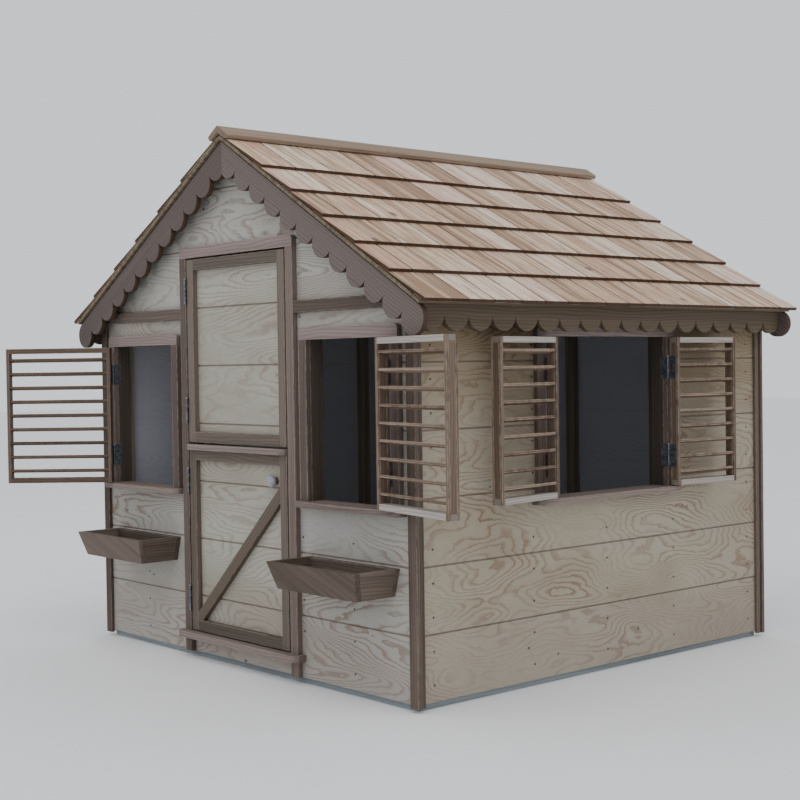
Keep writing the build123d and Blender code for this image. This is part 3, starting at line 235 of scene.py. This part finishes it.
# ---------------------------------------------------------------- shader building
class Shader:
    """One material, built node by node. Any input may be a number, a colour or a node's output."""

    def __init__(self, name):
        self.material = bpy.data.materials.new(name)
        self.material.use_nodes = True
        self.tree = self.material.node_tree
        self.tree.nodes.clear()

    def node(self, kind, inputs=(), **settings):
        made = self.tree.nodes.new(kind)
        for name, value in settings.items():
            setattr(made, name, value)
        for key, value in dict(inputs).items():
            self.join(value, made.inputs[key])
        return made

    def join(self, value, socket):
        if isinstance(value, bpy.types.NodeSocket):
            self.tree.links.new(value, socket)
        elif isinstance(value, tuple) and len(value) == 3 and socket.type == "RGBA":
            socket.default_value = value + (1.0,)
        else:
            socket.default_value = value

    def math(self, operation, first, second=0.0, third=0.0):
        inputs = {0: first, 1: second}
        if operation == "MULTIPLY_ADD":
            inputs[2] = third
        return self.node("ShaderNodeMath", inputs, operation=operation).outputs[0]

    def step(self, value, low, high):
        """0 below low, 1 above high and a smooth rise between them. High may be the lower one."""
        made = self.node("ShaderNodeMapRange", {"Value": value, "From Min": low, "From Max": high},
                         interpolation_type="SMOOTHSTEP")
        return made.outputs["Result"]

    def share(self, value, low, high, most):
        """Like step, but rising to most and not to 1."""
        return self.math("MULTIPLY", self.step(value, low, high), most)

    def mix(self, factor, first, second, blend="MIX"):
        made = self.node("ShaderNodeMix", data_type="RGBA", blend_type=blend)
        self.join(factor, made.inputs[MIX_FACTOR])
        self.join(first, made.inputs[MIX_FIRST])
        self.join(second, made.inputs[MIX_SECOND])
        return made.outputs[MIX_RESULT]

    def ramp(self, value, stops):
        made = self.node("ShaderNodeValToRGB", {"Fac": value})
        elements = made.color_ramp.elements
        while len(elements) < len(stops):
            elements.new(0.5)
        for element, (place, colour) in zip(elements, stops):
            element.position = place
            element.color = colour + (1.0,)
        return made.outputs["Color"]

    def scaled(self, vector, scale):
        return self.node("ShaderNodeVectorMath", {0: vector, 1: scale}, operation="MULTIPLY").outputs[0]

    def moved(self, vector, other):
        return self.node("ShaderNodeVectorMath", {0: vector, 1: other}, operation="ADD").outputs[0]

    def noise(self, vector, scale=1.0, detail=2.0, roughness=0.5, distortion=0.0):
        made = self.node("ShaderNodeTexNoise", {"Vector": vector, "Scale": scale, "Detail": detail,
                                                "Roughness": roughness, "Distortion": distortion})
        return made.outputs["Fac"]

    def knots(self, vector, rarity, inner, outer):
        """1 on scattered round knots. Rarity is the share of places that have none."""
        made = self.node("ShaderNodeTexVoronoi", {"Vector": vector, "Scale": 1.0})
        rare = self.step(self.parts(made.outputs["Color"])[0], rarity, rarity + 0.02)
        return self.math("MULTIPLY", self.step(made.outputs["Distance"], outer, inner), rare)

    def value(self, name):
        return self.node("ShaderNodeAttribute", attribute_name=name).outputs["Fac"]

    def vector(self, name):
        return self.node("ShaderNodeAttribute", attribute_name=name).outputs["Vector"]

    def parts(self, vector):
        return self.node("ShaderNodeSeparateXYZ", {0: vector}).outputs

    def joined(self, x, y, z):
        return self.node("ShaderNodeCombineXYZ", {0: x, 1: y, 2: z}).outputs[0]

    def position(self):
        return self.node("ShaderNodeTexCoord").outputs["Object"]

    def facing(self):
        return self.node("ShaderNodeNewGeometry").outputs["True Normal"]

    def surface(self, colour, roughness, height, depth, metallic=0.0, specular=0.3):
        """The finished surface. Height varies by about 1 and depth is how deep its marks are."""
        bump = self.node("ShaderNodeBump", {"Height": height, "Distance": depth, "Strength": 1.0})
        shader = self.node("ShaderNodeBsdfPrincipled", {"Base Color": colour, "Roughness": roughness,
                                                        "Metallic": metallic, "Normal": bump.outputs[0],
                                                        "Specular IOR Level": specular})
        output = self.node("ShaderNodeOutputMaterial")
        self.tree.links.new(shader.outputs[0], output.inputs["Surface"])
        return self.material


def srgb(red, green, blue):
    """A colour given as it looks on a screen, from 0 to 255."""
    def line(level):
        level = level / 255
        return level / 12.92 if level <= 0.04045 else ((level + 0.055) / 1.055) ** 2.4
    return (line(red), line(green), line(blue))


# ---------------------------------------------------------------- wood
def board_marks(shader):
    """What every board has: place on the board, its own seed, how near an edge and whether end grain."""
    grain = shader.vector("grain")
    seed = shader.value("seed")
    span = shader.parts(shader.vector("span"))
    place = shader.parts(grain)
    gaps = [shader.math("SUBTRACT", span[axis], shader.math("ABSOLUTE", place[axis])) for axis in range(3)]
    nearer = shader.math("MINIMUM", gaps[0], gaps[1])
    farther = shader.math("MAXIMUM", gaps[0], gaps[1])
    to_edge = shader.math("MAXIMUM", nearer, shader.math("MINIMUM", farther, gaps[2]))
    end = shader.step(gaps[0], *END_GRAIN)
    along, across = (shader.math("MULTIPLY", seed, spread) for spread in SEED_SPREAD)
    offset = shader.joined(along, across, seed)
    return {"place": shader.moved(grain, offset), "seed": seed, "to_edge": to_edge, "end": end}


def fibres(shader, place):
    """Fine grain that runs along the board."""
    fine = shader.noise(shader.scaled(place, (5.0, 260.0, 260.0)), detail=4.0, roughness=0.6)
    broad = shader.noise(shader.scaled(place, (1.4, 46.0, 46.0)), detail=3.0, distortion=0.3)
    return fine, broad


def growth_lines(shader, place, spacing):
    """Darker lines of late wood, wavering as they run along the board."""
    wander = shader.noise(shader.scaled(place, (2.2, 9.0, 9.0)), detail=2.0)
    across = shader.parts(place)
    sum_of = shader.math("ADD", across[1], across[2])
    height = shader.math("MULTIPLY_ADD", wander, 0.055, sum_of)
    phase = shader.math("FRACT", shader.math("DIVIDE", height, spacing))
    return shader.math("MULTIPLY", shader.step(phase, 0.45, 0.9), shader.step(phase, 1.0, 0.9))


def stained(name, dark, light, edge, level_colour=None, shaded_side_colour=None):
    """Brown-stained cedar. Boards that lie level may be of another colour, and faces turned away from the
    front and back may be darkened as painted shade.
    """
    shader = Shader(name)
    marks = board_marks(shader)
    fine, broad = fibres(shader, marks["place"])
    lines = growth_lines(shader, marks["place"], CEDAR_LINES)
    tone = shader.math("MULTIPLY_ADD", broad, 0.75, shader.math("MULTIPLY", marks["seed"], 0.45))
    colour = shader.mix(shader.step(tone, 0.25, 0.85), dark, light)
    if level_colour:
        shade = tuple(0.82 * part for part in level_colour)
        pale = shader.mix(shader.step(broad, 0.3, 0.7), level_colour, shade)
        level = shader.step(shader.value("upright"), 0.6, 0.4)
        colour = shader.mix(level, colour, pale)
    late_wood = shader.mix(1.0, colour, dark, "MULTIPLY")
    colour = shader.mix(shader.math("MULTIPLY", lines, 0.30), colour, late_wood)
    streak = shader.share(fine, 0.52, 0.78, 0.35)
    colour = shader.mix(streak, colour, shader.mix(0.5, colour, dark))
    wear_noise = shader.noise(marks["place"], scale=38.0, detail=3.0)
    at_edge = shader.step(marks["to_edge"], *WORN_EDGE)
    wear = shader.math("MULTIPLY", at_edge, shader.step(wear_noise, 0.34, 0.62))
    colour = shader.mix(shader.math("MULTIPLY", wear, 0.65), colour, edge)
    colour = shader.mix(shader.math("MULTIPLY", marks["end"], 0.6), colour, dark)
    # faces not turned to the front or back, such as the scalloped edges, take a darker colour as painted
    # shade
    if shaded_side_colour:
        facing = shader.math("ABSOLUTE", shader.parts(shader.facing())[1])
        colour = shader.mix(shader.step(facing, 0.8, 0.6), colour, shaded_side_colour)
    rough = shader.math("MULTIPLY_ADD", fine, 0.16, 0.66)
    raised = shader.math("MULTIPLY", fine, 0.6)
    height = shader.math("SUBTRACT", raised, shader.math("MULTIPLY", lines, 0.4))
    return shader.surface(colour, rough, height, depth=0.0007)


def plywood(name, cream, tan, line, strength, inner):
    """Rotary-cut grooved siding. Its flame grain runs on across the grooves."""
    shader = Shader(name)
    place = shader.parts(shader.position())
    level = shader.math("MULTIPLY_ADD", place[1], 1.37, place[0])
    sheet = shader.joined(level, place[2], 0.0)
    swell = shader.noise(shader.scaled(sheet, (0.8, 3.4, 1.0)), detail=1.0, distortion=0.25)
    second = shader.noise(shader.scaled(sheet, (2.6, 11.0, 1.0)), detail=1.0)
    jagged = shader.noise(shader.scaled(sheet, (22.0, 50.0, 1.0)), detail=3.0, roughness=0.6)
    height = shader.math("MULTIPLY_ADD", second, 0.17, swell)
    height = shader.math("MULTIPLY_ADD", jagged, 0.022, height)
    phase = shader.math("FRACT", shader.math("MULTIPLY", height, 44.0))
    late = shader.math("MULTIPLY", shader.step(phase, 0.46, 0.90), shader.step(phase, 1.0, 0.93))
    patch = shader.noise(shader.scaled(sheet, (1.6, 2.6, 1.0)), detail=2.0)
    flame = shader.math("MULTIPLY", late, shader.share(patch, 0.30, 0.66, strength))
    fine = shader.noise(shader.scaled(sheet, (30.0, 260.0, 1.0)), detail=4.0, roughness=0.65)
    cloud = shader.noise(shader.scaled(sheet, (0.9, 3.2, 1.0)), detail=4.0, roughness=0.6)
    colour = shader.mix(shader.step(cloud, 0.3, 0.75), cream, tan)
    colour = shader.mix(flame, colour, line)
    colour = shader.mix(shader.share(fine, 0.48, 0.8, 0.30), colour, line)

    # the right wall is warmer, and darker yellow-brown up under the eaves as painted eave shadow
    side = shader.step(place[0], WALL_FACE_X - RIGHT_FACE[0], WALL_FACE_X - RIGHT_FACE[1])
    high = shader.step(place[2], *EAVE_SHADE_HEIGHTS)
    warm_tint_and_eave_shade = shader.mix(high, srgb(250, 240, 222), srgb(212, 190, 158))
    colour = shader.mix(side, colour, shader.mix(1.0, colour, warm_tint_and_eave_shade, "MULTIPLY"))
    damp = shader.share(place[2], *DAMP, 0.30)
    colour = shader.mix(damp, colour, srgb(150, 138, 132))
    knot = shader.knots(shader.scaled(sheet, (5.2, 9.0, 1.0)), 0.72, 0.03, 0.055)
    colour = shader.mix(shader.math("MULTIPLY", knot, 0.8), colour, srgb(70, 54, 44))

    row = shader.math("DIVIDE", shader.math("SUBTRACT", place[2], SIDING_BOTTOM), GROOVE_PITCH)
    from_groove = shader.math("MULTIPLY", shader.math("PINGPONG", row, 0.5), GROOVE_PITCH)
    above_edge = shader.step(row, 0.4, 0.6)
    groove = shader.math("MULTIPLY", shader.step(from_groove, *GROOVE_SHADE), above_edge)
    soil = shader.math("MULTIPLY", shader.step(from_groove, *GROOVE_SOIL), above_edge)
    colour = shader.mix(shader.math("MULTIPLY", soil, 0.22), colour, tan)
    # painted shade darkens the middle of each groove
    colour = shader.mix(shader.math("MULTIPLY", groove, 0.50), colour, srgb(104, 80, 64))

    back_x = WALL_FACE_X - SHEET_BACK
    back_y = WALL_FACE_Y - SHEET_BACK
    inside_x = shader.step(shader.math("ABSOLUTE", place[0]), back_x, back_x - SHEET_FADE)
    inside_y = shader.step(shader.math("ABSOLUTE", place[1]), back_y, back_y - SHEET_FADE)
    inside = shader.math("MULTIPLY", inside_x, inside_y)
    colour = shader.mix(shader.math("MULTIPLY", inside, 0.75), colour, inner)
    rough = shader.math("MULTIPLY_ADD", fine, 0.15, 0.74)
    raised = shader.math("MULTIPLY", fine, 0.45)
    relief = shader.math("SUBTRACT", raised, shader.math("MULTIPLY", late, 0.5))
    return shader.surface(colour, rough, relief, depth=0.0005, specular=0.2)


def shingle_wood(name, tones, dark):
    """Sawn cedar shingles, each of its own tone, streaked down the slope, stained dark on their edges, and
    darkened on faces that don't face up, partly end grain and partly painted shade.
    """
    shader = Shader(name)
    marks = board_marks(shader)
    streaks = shader.noise(shader.scaled(marks["place"], (1.3, 22.0, 3.0)), detail=3.0, roughness=0.6)
    narrow = shader.noise(shader.scaled(marks["place"], (3.0, 120.0, 30.0)), detail=3.0, roughness=0.6)
    fine = shader.noise(shader.scaled(marks["place"], (7.0, 330.0, 90.0)), detail=4.0, roughness=0.65)
    mottle = shader.noise(marks["place"], scale=26.0, detail=4.0, roughness=0.65)
    own = shader.math("FRACT", shader.math("MULTIPLY", marks["seed"], 7.31))
    pick = shader.math("MULTIPLY_ADD", shader.math("SUBTRACT", streaks, 0.5), 1.5, own)
    colour = shader.ramp(pick, tones)
    for factor, tint in ((shader.share(narrow, 0.54, 0.72, 0.55), srgb(232, 220, 204)),
                         (shader.share(narrow, 0.46, 0.30, 0.50), srgb(138, 104, 82)),
                         (shader.share(mottle, 0.50, 0.75, 0.35), srgb(128, 100, 82)),
                         (shader.share(fine, 0.5, 0.8, 0.30), srgb(120, 88, 70))):
        colour = shader.mix(factor, colour, tint)
    knot = shader.knots(shader.scaled(marks["place"], (6.0, 8.0, 1.0)), 0.80, 0.05, 0.15)
    colour = shader.mix(shader.math("MULTIPLY", knot, 0.75), colour, srgb(88, 62, 50))

    # faces that don't face up, the butts and sides, are darkened: partly their darker end grain, partly
    # painted shade
    level = shader.math("ABSOLUTE", shader.parts(shader.facing())[2])
    colour = shader.mix(shader.share(level, 0.82, 0.74, 0.95), colour, dark)
    near_edge = shader.step(marks["to_edge"], *SHINGLE_RIM)
    rim = shader.math("MULTIPLY", near_edge, shader.step(mottle, 0.3, 0.7))
    colour = shader.mix(shader.math("MULTIPLY", rim, 0.55), colour, srgb(96, 70, 54))
    rough = shader.math("MULTIPLY_ADD", fine, 0.14, 0.74)
    relief = shader.math("ADD", shader.math("MULTIPLY", fine, 0.4), shader.math("MULTIPLY", narrow, 0.6))
    return shader.surface(colour, rough, relief, depth=0.0014, specular=0.2)


def raw_softwood(name, pale, dark):
    """Softwood without stain, for the framing, the roof sheathing and the base strip."""
    shader = Shader(name)
    marks = board_marks(shader)
    fine, broad = fibres(shader, marks["place"])
    lines = growth_lines(shader, marks["place"], SOFTWOOD_LINES)
    colour = shader.mix(shader.step(broad, 0.3, 0.75), pale, dark)
    colour = shader.mix(shader.math("MULTIPLY", lines, 0.45), colour, dark)
    colour = shader.mix(shader.share(marks["to_edge"], *RUBBED_EDGE, 0.3), colour, pale)
    rough = shader.math("MULTIPLY_ADD", fine, 0.15, 0.75)
    return shader.surface(colour, rough, fine, depth=0.0006, specular=0.2)


# ---------------------------------------------------------------- metal and knob
def zinc(name, base, bright):
    """Dull metal with brighter rubbed patches, for plates, pins and nails."""
    shader = Shader(name)
    position = shader.position()
    cloud = shader.noise(position, scale=90.0, detail=4.0, roughness=0.6)
    fine = shader.noise(position, scale=900.0, detail=2.0)
    colour = shader.mix(shader.step(cloud, 0.35, 0.7), base, bright)
    rough = shader.math("MULTIPLY_ADD", cloud, 0.25, 0.34)
    return shader.surface(colour, rough, fine, depth=0.00008, metallic=0.85, specular=0.5)


def painted_knob(name):
    """A pale knob on a brown neck."""
    shader = Shader(name)
    position = shader.position()
    place = shader.parts(position)
    grain = shader.noise(shader.scaled(position, (240.0, 20.0, 240.0)), detail=3.0)
    from_middle = shader.math("ABSOLUTE", place[1])
    neck = shader.step(from_middle, WALL_FACE_Y + NECK[0], WALL_FACE_Y + NECK[1])
    pale = shader.mix(shader.step(grain, 0.35, 0.7), srgb(152, 153, 160), srgb(128, 128, 134))
    colour = shader.mix(neck, pale, srgb(96, 76, 60))
    rough = shader.math("MULTIPLY_ADD", grain, 0.2, 0.38)
    return shader.surface(colour, rough, grain, depth=0.0003, specular=0.45)


# ---------------------------------------------------------------- dress the nodes
def dress():
    line = srgb(124, 97, 82)
    inner = srgb(198, 201, 213)
    siding = plywood("siding plywood", srgb(174, 173, 168), srgb(156, 150, 140), line, 0.72, inner)
    door_panel = plywood("door panel plywood", srgb(170, 168, 158), srgb(150, 144, 130), line, 0.50,
                         srgb(150, 141, 128))
    trim = stained("stained trim", srgb(72, 60, 52), srgb(108, 94, 84), srgb(136, 120, 108))
    casing = stained("stained casing", srgb(84, 71, 64), srgb(120, 105, 97), srgb(152, 136, 128),
                     level_colour=srgb(140, 124, 119))
    liner = stained("window liner", srgb(52, 44, 38), srgb(78, 68, 60), srgb(96, 84, 74))
    leaf_frame = stained("door leaf frame", srgb(76, 66, 58), srgb(112, 100, 90), srgb(138, 124, 112))
    brace = stained("brace wood", srgb(72, 60, 50), srgb(98, 86, 74), srgb(130, 116, 102))
    # the bargeboard's scalloped edges are darkened as painted shade
    barge = stained("stained bargeboard", srgb(88, 76, 72), srgb(106, 94, 89), srgb(96, 78, 66),
                    shaded_side_colour=srgb(74, 56, 44))
    fascia = stained("stained fascia", srgb(74, 62, 50), srgb(100, 86, 70), srgb(112, 94, 76))
    cap = stained("ridge cap", srgb(104, 84, 70), srgb(150, 130, 112), srgb(176, 156, 140))
    ledge = stained("stained sill", srgb(92, 78, 72), srgb(134, 119, 112), srgb(154, 140, 132))
    planter = stained("flower box wood", srgb(78, 66, 56), srgb(112, 98, 88), srgb(142, 126, 114))
    shutter = stained("shutter wood", srgb(84, 67, 55), srgb(118, 101, 87), srgb(160, 142, 124),
                      level_colour=srgb(178, 170, 164))
    # a darker copy of the shutter wood, painted shade for the front-left shutter, which faces away from the
    # light
    shaded_shutter = stained("shutter wood in painted shade", srgb(84, 66, 56), srgb(112, 94, 82),
                            srgb(138, 120, 106))
    slat = stained("slat wood", srgb(92, 72, 58), srgb(138, 118, 102), srgb(186, 168, 148))
    # a darker copy of the slat wood, painted shade for the front-left shutter
    shaded_slat = stained("slat wood in painted shade", srgb(70, 52, 38), srgb(102, 82, 66), srgb(132, 112, 94))
    tones = [(0.0, srgb(150, 122, 100)), (0.18, srgb(198, 170, 144)), (0.34, srgb(178, 136, 116)),
             (0.50, srgb(214, 192, 166)), (0.64, srgb(166, 136, 112)), (0.80, srgb(226, 210, 190)),
             (1.0, srgb(206, 172, 156))]
    # the last colour darkens faces that don't face up, partly end grain and partly painted shade
    shingle = shingle_wood("cedar shingles", tones, srgb(54, 36, 26))
    # the starter strip's faces that don't face up are darker still, as painted shade in the gap at the eave
    starter = shingle_wood("starter strip", tones, srgb(44, 30, 22))
    frame_wood = raw_softwood("framing softwood", srgb(150, 140, 124), srgb(112, 100, 84))
    # the roof sheathing takes a darker copy of the softwood as painted shade in the gap under the shingles
    shaded_decking = raw_softwood("shaded roof sheathing", srgb(126, 114, 96), srgb(88, 76, 62))
    hinge_metal = zinc("zinc plate", (0.085, 0.09, 0.105), (0.21, 0.22, 0.245))
    pin_metal = zinc("bright pin", (0.42, 0.44, 0.46), (0.72, 0.73, 0.75))
    nail_metal = zinc("dark nail", (0.035, 0.028, 0.024), (0.09, 0.075, 0.06))
    base_paint = raw_softwood("base strip", srgb(142, 150, 154), srgb(116, 122, 126))

    looks = {
        siding: ["front_siding", "threshold_apron", "front_gable_siding", "back_gable_siding", "back_siding",
                 "left_siding", "right_siding"],
        door_panel: ["upper_door_panel", "lower_door_panel"],
        trim: ["corner_trims", "belly_bands"],
        casing: ["door_casing", "window_casings"],
        liner: ["door_jambs", "door_stops", "window_jambs"],
        leaf_frame: ["upper_door_frame", "lower_door_frame"],
        brace: ["lower_door_brace"],
        barge: ["front_bargeboards", "rear_bargeboards"],
        fascia: ["eave_fascias"],
        cap: ["ridge_cap"],
        ledge: ["window_sills", "door_threshold", "lower_door_shelf"],
        planter: ["flower_box_left", "flower_box_right"],
        shutter: ["shutter_front_right_frame", "shutter_side_front_frame", "shutter_side_rear_frame"],
        # the front-left shutter takes the copies darkened as painted shade
        shaded_shutter: ["shutter_front_left_frame"],
        slat: ["shutter_front_right_slats", "shutter_side_front_slats", "shutter_side_rear_slats"],
        shaded_slat: ["shutter_front_left_slats"],
        shingle: ["shingles_right", "shingles_left"],
        starter: ["starter_strips"],
        frame_wood: ["floor_deck", "front_wall_frame", "back_wall_frame", "left_wall_frame",
                     "right_wall_frame", "ridge_board", "rafters"],
        base_paint: ["floor_frame"],
        shaded_decking: ["roof_deck_right", "roof_deck_left"],
        pin_metal: ["hinge_pins"],
        nail_metal: ["siding_nails"],
        painted_knob("knob paint"): ["lower_door_knob"],
    }
    looks[hinge_metal] = [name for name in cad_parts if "hinge" in name and name != "hinge_pins"]
    for material, names in looks.items():
        for name in names:
            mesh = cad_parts[name].data
            mesh.materials.clear()
            mesh.materials.append(material)
            for polygon in mesh.polygons:
                polygon.material_index = 0
    dressed = {name for names in looks.values() for name in names}
    bare = sorted(set(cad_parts) - dressed)
    if bare:
        raise ValueError("nodes without a material: " + ", ".join(bare))


def finish_boards():
    """Give every node its board marks, and every wooden one softened edges."""
    tree = joined_boards()
    chance = random.Random(BOARD_SEED)
    for name in sorted(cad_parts):
        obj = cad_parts[name]
        describe_boards(obj, chance)
        metal = "hinge" in name or "nails" in name
        if not metal:
            soften_edges(obj, tree)


# ---------------------------------------------------------------- stage, light and camera
def make_floor():
    bpy.ops.mesh.primitive_plane_add(size=FLOOR_SIZE, location=(0, 0, FLOOR_LEVEL))
    floor = bpy.context.object
    floor.name = "floor"
    shader = Shader("pale floor")
    grit = shader.noise(shader.position(), scale=3.0, detail=5.0)
    colour = shader.mix(grit, (0.86, 0.86, 0.86), (0.90, 0.90, 0.90))
    floor.data.materials.append(shader.surface(colour, 0.9, grit, depth=0.0005, specular=0.1))


def make_light():
    world = bpy.data.worlds.new("studio")
    bpy.context.scene.world = world
    world.use_nodes = True
    background = world.node_tree.nodes["Background"]
    background.inputs["Color"].default_value = SKY_COLOUR
    background.inputs["Strength"].default_value = SKY_STRENGTH
    for name, place, size, power, colour in LAMPS:
        data = bpy.data.lights.new(name, "AREA")
        data.size = size
        data.energy = power
        data.color = colour
        lamp = bpy.data.objects.new(name, data)
        bpy.context.scene.collection.objects.link(lamp)
        lamp.location = place
        aim = Vector(LAMP_AIM) - Vector(place)
        lamp.rotation_euler = aim.to_track_quat("-Z", "Y").to_euler()


def make_camera():
    data = bpy.data.cameras.new("photo view")
    data.sensor_width = SENSOR_WIDTH
    data.lens = CAMERA_LENS
    camera = bpy.data.objects.new("photo view", data)
    bpy.context.scene.collection.objects.link(camera)
    level_ahead = Vector((-math.sin(CAMERA_TURN), math.cos(CAMERA_TURN), 0))
    ahead = level_ahead * math.cos(CAMERA_TILT) + Vector((0, 0, math.sin(CAMERA_TILT)))
    level_right = Vector((math.cos(CAMERA_TURN), math.sin(CAMERA_TURN), 0))
    level_up = level_right.cross(ahead)
    right = level_right * math.cos(CAMERA_ROLL) + level_up * math.sin(CAMERA_ROLL)
    up = level_up * math.cos(CAMERA_ROLL) - level_right * math.sin(CAMERA_ROLL)
    pose = Matrix((right, up, -ahead)).transposed().to_4x4()
    pose.translation = Vector(CAMERA_PLACE)
    camera.matrix_world = pose
    bpy.context.scene.camera = camera


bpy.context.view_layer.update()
finish_boards()
dress()
make_floor()
make_light()
make_camera()
